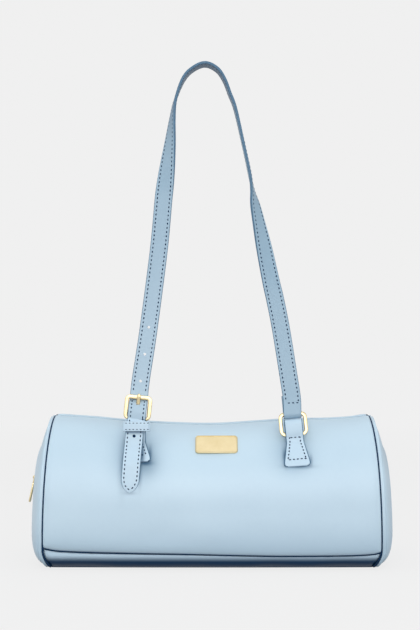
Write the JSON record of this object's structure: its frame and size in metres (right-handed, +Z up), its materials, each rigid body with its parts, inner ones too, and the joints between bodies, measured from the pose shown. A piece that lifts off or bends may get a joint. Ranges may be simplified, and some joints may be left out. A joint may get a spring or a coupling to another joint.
{
  "type": "barrel shoulder bag",
  "caption": "Barrel-shaped leather shoulder bag with a long strap, a buckle on one side and a ring on the other, closed by a zip along the top, plain plate in front",
  "frame": {"origin": "on the ground, under the middle of the bag's body", "axes": "+Z up, +X along the bag towards the end with the ring, -Y towards the front with the plate"},
  "size_m": [0.2994, 0.1278, 0.4092],
  "materials": {
    "panel_leather": "smooth, slightly shiny, fine grain",
    "piping_leather": "smooth, over a cord",
    "strap_leather": "smooth, stitched along both edges",
    "patch_leather": "rough side out",
    "lining_cloth": "plain weave",
    "zip_tape": "woven tape",
    "zip_metal": "polished, pale gold",
    "gold_metal": "polished, pale gold",
    "badge_metal": "satin, pale gold",
    "steel": "plain",
    "stiff_board": "plain"
  },
  "bodies": {
    "bag": {"front_panel": "panel_leather", "back_panel": "panel_leather", "base_panel": "panel_leather", "end_panel_left": "panel_leather", "end_panel_right": "panel_leather", "piping_left": "piping_leather", "piping_right": "piping_leather", "piping_base_front": "piping_leather", "piping_base_back": "piping_leather", "base_board": "stiff_board", "lining_body": "lining_cloth", "lining_end_left": "lining_cloth", "lining_end_right": "lining_cloth", "slip_pocket": "lining_cloth", "zip_tape_front": "zip_tape", "zip_tape_back": "zip_tape", "zip_teeth_front": "zip_metal", "zip_teeth_back": "zip_metal", "zip_teeth_end": "zip_metal", "zip_stops": "zip_metal", "tab_left": "strap_leather", "tab_right": "strap_leather", "tab_patches": "patch_leather", "keeper": "strap_leather", "strap_tail": "strap_leather", "badge": "badge_metal", "badge_washers": "steel"},
    "strap": {"strap": "strap_leather", "strap_bend": "strap_leather", "strap_fold": "strap_leather", "buckle_frame": "gold_metal", "ring": "gold_metal"},
    "prong": {"buckle_prong": "gold_metal"},
    "slider": {"zip_slider": "gold_metal"},
    "puller": {"zip_puller": "gold_metal"}
  },
  "joints": [
    {"name": "strap_swing", "type": "hinge", "parent": "bag", "child": "strap", "pos_m": [-0.0605, -0.04304, 0.119], "axis": [0.9952, 0, -0.0983], "range_deg": [-48, 65], "deforming": ["strap_bend"]},
    {"name": "prong_tilt", "type": "hinge", "parent": "strap", "child": "prong", "pos_m": [-0.0605, -0.04304, 0.119], "axis": [0.9952, 0, -0.0983], "range_deg": [0, 3]},
    {"name": "zip_slide", "type": "slide", "parent": "bag", "child": "slider", "axis": [0.1072, 0, 0.9942], "range_m": [0, 0.014], "deforming": ["zip_teeth_end"]},
    {"name": "puller_swing", "type": "hinge", "parent": "slider", "child": "puller", "pos_m": [-0.14756, 0, 0.06719], "axis": [0, 1, 0], "range_deg": [-8, 150]}
  ]
}
